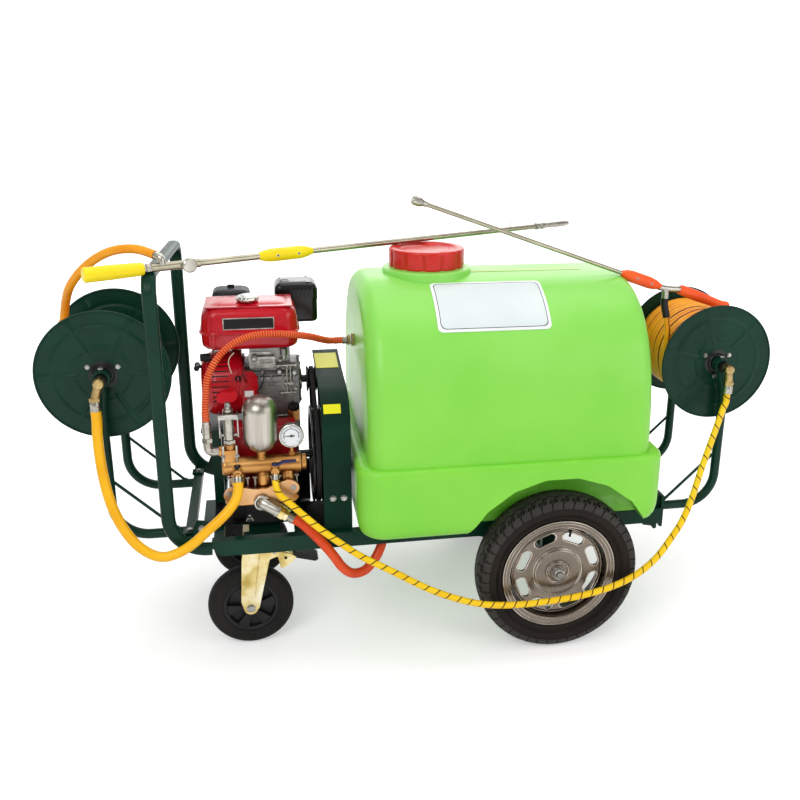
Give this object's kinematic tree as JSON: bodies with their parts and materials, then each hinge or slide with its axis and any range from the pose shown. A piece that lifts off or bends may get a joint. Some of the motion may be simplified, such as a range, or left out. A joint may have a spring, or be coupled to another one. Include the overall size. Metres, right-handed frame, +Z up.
{
  "type": "wheeled sprayer cart",
  "caption": "Motor sprayer on a four-wheeled cart: liquid tank, engine with belt-driven plunger pump, hose reel at each end, two spray lances and push handle.",
  "frame": {"origin": "on the ground, midway between the two hose reels and between the wheels", "axes": "+X from the push handle towards the tank end, +Y away from the pump side, +Z up"},
  "size_m": [1.901, 0.7311, 1.1543],
  "materials": {
    "green_paint": "gloss",
    "grey_steel": "satin",
    "tyre_rubber": "matt",
    "rim_metal": "satin",
    "zinc_plate": "satin",
    "black_plastic": "satin",
    "black_metal": "satin",
    "yellow_hose": "gloss",
    "orange_hose": "gloss",
    "red_hose": "gloss",
    "brass_metal": "satin",
    "lime_plastic": "gloss",
    "red_plastic": "gloss",
    "red_shell": "gloss",
    "cast_alloy": "satin",
    "red_casting": "satin",
    "bright_steel": "polished",
    "belt_rubber": "matt",
    "lance_alloy": "satin",
    "black_alloy": "satin"
  },
  "bodies": {
    "root": {"frame": "green_paint", "axle": "grey_steel", "push_handle": "green_paint", "reel_stand_left_near": "green_paint", "reel_stand_left_far": "green_paint", "reel_stand_right_near": "green_paint", "reel_stand_right_far": "green_paint", "reel_shaft_left": "black_metal", "reel_shaft_right": "black_metal", "reel_swivel_left": "brass_metal", "reel_swivel_right": "brass_metal", "delivery_hose_left": "yellow_hose", "delivery_hose_right": "yellow_hose", "lance_hose_left": "orange_hose", "lance_hose_right": "yellow_hose", "return_hose": "orange_hose", "suction_hose": "red_hose", "tank": "lime_plastic", "return_fitting": "brass_metal", "engine_bench": "green_paint", "engine_block": "cast_alloy", "recoil_cover": "red_shell", "fuel_tank": "red_shell", "air_cleaner": "black_plastic", "muffler": "black_alloy", "drive_belt_inner": "belt_rubber", "drive_belt_outer": "belt_rubber", "belt_guard": "green_paint", "pump_crankcase": "red_casting", "pump_manifold": "brass_metal", "air_vessel": "bright_steel", "pressure_gauge": "bright_steel", "pressure_regulator": "bright_steel", "lance_left": "lance_alloy", "lance_right": "lance_alloy"},
    "wheel_near": {"tyre_near": "tyre_rubber", "rim_near": "rim_metal"},
    "wheel_far": {"tyre_far": "tyre_rubber", "rim_far": "rim_metal"},
    "caster_near": {"caster_fork_near": "zinc_plate"},
    "caster_far": {"caster_fork_far": "zinc_plate"},
    "caster_roller_near": {"caster_wheel_near": "black_plastic"},
    "caster_roller_far": {"caster_wheel_far": "black_plastic"},
    "brake_near": {"caster_brake_near": "black_metal"},
    "brake_far": {"caster_brake_far": "black_metal"},
    "reel_l": {"reel_left": "green_paint", "hose_winding_left": "orange_hose"},
    "reel_r": {"reel_right": "green_paint", "hose_winding_right": "orange_hose"},
    "engine_shaft": {"engine_pulley": "black_metal"},
    "pump_shaft": {"pump_pulley": "black_metal"},
    "starter_grip": {"recoil_grip": "black_plastic"},
    "lid": {"tank_lid": "red_plastic"},
    "fuel_filler": {"fuel_cap": "bright_steel"},
    "stop_switch": {"engine_switch": "black_plastic"},
    "regulator_arm": {"regulator_lever": "bright_steel"},
    "tap_left": {"outlet_lever_left": "black_plastic"},
    "tap_right": {"outlet_lever_right": "black_plastic"},
    "needle": {"gauge_needle": "black_plastic"}
  },
  "joints": [
    {"name": "wheel_near_roll", "type": "hinge", "parent": "root", "child": "wheel_near", "pos_m": [0.305, -0.306, 0.21316], "axis": [0, 1, 0], "continuous": true},
    {"name": "caster_near_swivel", "type": "hinge", "parent": "root", "child": "caster_near", "pos_m": [-0.433, -0.172, 0.285], "axis": [0, 0, 1], "continuous": true},
    {"name": "caster_near_roll", "type": "hinge", "parent": "caster_near", "child": "caster_roller_near", "pos_m": [-0.478, -0.172, 0.10985], "axis": [0, 1, 0], "continuous": true},
    {"name": "brake_near_pedal", "type": "hinge", "parent": "caster_near", "child": "brake_near", "pos_m": [-0.412, -0.172, 0.26696], "axis": [0, 1, 0], "range_deg": [0, 12]},
    {"name": "wheel_far_roll", "type": "hinge", "parent": "root", "child": "wheel_far", "pos_m": [0.305, 0.306, 0.21316], "axis": [0, 1, 0], "continuous": true},
    {"name": "caster_far_swivel", "type": "hinge", "parent": "root", "child": "caster_far", "pos_m": [-0.433, 0.172, 0.285], "axis": [0, 0, 1], "continuous": true},
    {"name": "caster_far_roll", "type": "hinge", "parent": "caster_far", "child": "caster_roller_far", "pos_m": [-0.478, 0.172, 0.10985], "axis": [0, 1, 0], "continuous": true},
    {"name": "brake_far_pedal", "type": "hinge", "parent": "caster_far", "child": "brake_far", "pos_m": [-0.412, 0.172, 0.26696], "axis": [0, 1, 0], "range_deg": [0, 12]},
    {"name": "reel_left_turn", "type": "hinge", "parent": "root", "child": "reel_l", "pos_m": [-0.795, 0, 0.735], "axis": [0, 1, 0], "continuous": true},
    {"name": "reel_right_turn", "type": "hinge", "parent": "root", "child": "reel_r", "pos_m": [0.795, 0, 0.698], "axis": [0, 1, 0], "continuous": true},
    {"name": "pump_pulley_spin", "type": "hinge", "parent": "root", "child": "pump_shaft", "pos_m": [-0.282, -0.095, 0.49], "axis": [1, 0, 0], "continuous": true},
    {"name": "engine_pulley_spin", "type": "hinge", "parent": "root", "child": "engine_shaft", "pos_m": [-0.282, 0.04, 0.652], "axis": [1, 0, 0], "continuous": true},
    {"name": "starter_pull", "type": "slide", "parent": "root", "child": "starter_grip", "axis": [0, 0, 1], "range_m": [0, 0.15], "stiffness_N_per_m": 30, "springref_m": -0.05},
    {"name": "tank_lid_turn", "type": "hinge", "parent": "root", "child": "lid", "pos_m": [0.012, 0, 0.98], "axis": [0, 0, 1], "range_deg": [0, 360]},
    {"name": "fuel_cap_lift", "type": "slide", "parent": "root", "child": "fuel_filler", "axis": [0, 0, 1], "range_m": [0, 0.05]},
    {"name": "stop_switch_turn", "type": "hinge", "parent": "root", "child": "stop_switch", "pos_m": [-0.483, -0.046, 0.686], "axis": [0, 1, 0], "range_deg": [0, 90]},
    {"name": "regulator_flip", "type": "hinge", "parent": "root", "child": "regulator_arm", "pos_m": [-0.507, -0.19, 0.588], "axis": [1, 0, 0], "range_deg": [0, 70]},
    {"name": "tap_left_turn", "type": "hinge", "parent": "root", "child": "tap_left", "pos_m": [-0.491, -0.2235, 0.52], "axis": [0, 0, 1], "range_deg": [0, 90]},
    {"name": "tap_right_turn", "type": "hinge", "parent": "root", "child": "tap_right", "pos_m": [-0.401, -0.2235, 0.52], "axis": [0, 0, -1], "range_deg": [0, 90]},
    {"name": "gauge_sweep", "type": "hinge", "parent": "root", "child": "needle", "pos_m": [-0.358, -0.199, 0.5803], "axis": [0, 1, 0], "range_deg": [0, 240]}
  ],
  "couplings": [
    {"joint": "engine_pulley_spin", "follows": "pump_pulley_spin", "ratio": 4.0333}
  ]
}
